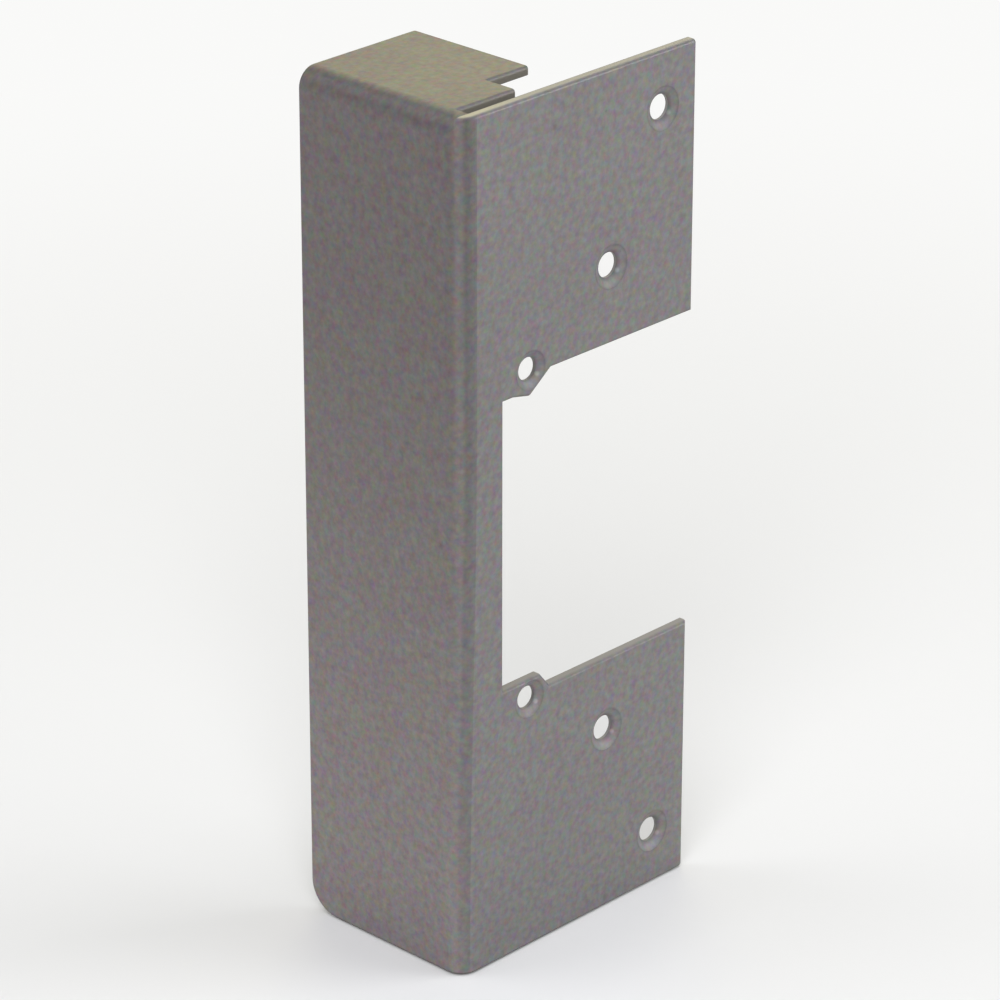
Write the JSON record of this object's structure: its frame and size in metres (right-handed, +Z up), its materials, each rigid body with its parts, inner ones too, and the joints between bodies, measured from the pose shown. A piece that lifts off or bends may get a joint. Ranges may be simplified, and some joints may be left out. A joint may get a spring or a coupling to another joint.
{
  "type": "rim release faceplate",
  "caption": "Folded satin steel cover plate for a surface-mounted door release: an angle with a latch opening at one free edge, countersunk screw holes and a flange over the top.",
  "frame": {"origin": "middle of the outline's base, at the level of the sheet's lower edges", "axes": "+Z up along the tall bend, +X along the plate towards its free edge, +Y along the face towards its back edge"},
  "size_m": [0.058, 0.038, 0.16],
  "materials": {
    "stainless_sheet": "satin"
  },
  "bodies": {
    "root": {"faceplate": "stainless_sheet"}
  },
  "joints": []
}
